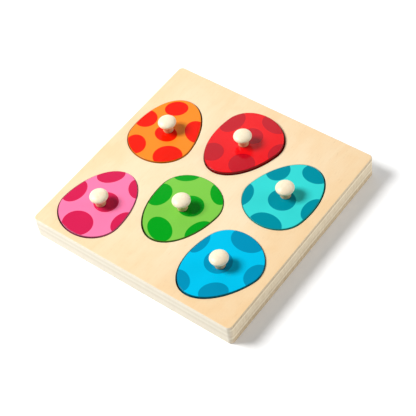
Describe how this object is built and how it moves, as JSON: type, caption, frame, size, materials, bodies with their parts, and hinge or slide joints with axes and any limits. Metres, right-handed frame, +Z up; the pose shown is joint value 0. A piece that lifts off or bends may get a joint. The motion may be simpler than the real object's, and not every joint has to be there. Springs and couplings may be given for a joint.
{
  "type": "egg knob puzzle",
  "caption": "Square plywood puzzle board with egg-shaped recesses holding loose spotted painted wooden eggs, each lifted out by a turned mushroom knob.",
  "frame": {"origin": "middle of the board's underside, on the surface that the puzzle lies on", "axes": "+Z up through the board, +X and +Y along its sides, with the orange and pink eggs on the -X side and the red egg towards +Y"},
  "size_m": [0.225, 0.225, 0.0414],
  "materials": {
    "plywood": "sanded pale plywood with a thin clear lacquer",
    "turned_wood": "turned pale hardwood with a clear satin lacquer",
    "orange_paint": "wood painted satin orange with red spots",
    "red_paint": "wood painted satin red with darker red spots",
    "teal_paint": "wood painted satin turquoise with teal spots",
    "pink_paint": "wood painted satin pink with crimson spots",
    "green_paint": "wood painted satin light green with green spots",
    "blue_paint": "wood painted satin sky blue with darker blue spots"
  },
  "bodies": {
    "board": {"base_board": "plywood", "frame_board": "plywood"},
    "orange_egg": {"egg_orange": "orange_paint", "knob_orange": "turned_wood"},
    "red_egg": {"egg_red": "red_paint", "knob_red": "turned_wood"},
    "teal_egg": {"egg_teal": "teal_paint", "knob_teal": "turned_wood"},
    "pink_egg": {"egg_pink": "pink_paint", "knob_pink": "turned_wood"},
    "green_egg": {"egg_green": "green_paint", "knob_green": "turned_wood"},
    "blue_egg": {"egg_blue": "blue_paint", "knob_blue": "turned_wood"}
  },
  "joints": [
    {"name": "lift_orange", "type": "slide", "parent": "board", "child": "orange_egg", "axis": [0, 0, 1], "range_m": [0, 0.06]},
    {"name": "lift_red", "type": "slide", "parent": "board", "child": "red_egg", "axis": [0, 0, 1], "range_m": [0, 0.06]},
    {"name": "lift_teal", "type": "slide", "parent": "board", "child": "teal_egg", "axis": [0, 0, 1], "range_m": [0, 0.06]},
    {"name": "lift_pink", "type": "slide", "parent": "board", "child": "pink_egg", "axis": [0, 0, 1], "range_m": [0, 0.06]},
    {"name": "lift_green", "type": "slide", "parent": "board", "child": "green_egg", "axis": [0, 0, 1], "range_m": [0, 0.06]},
    {"name": "lift_blue", "type": "slide", "parent": "board", "child": "blue_egg", "axis": [0, 0, 1], "range_m": [0, 0.06]}
  ]
}
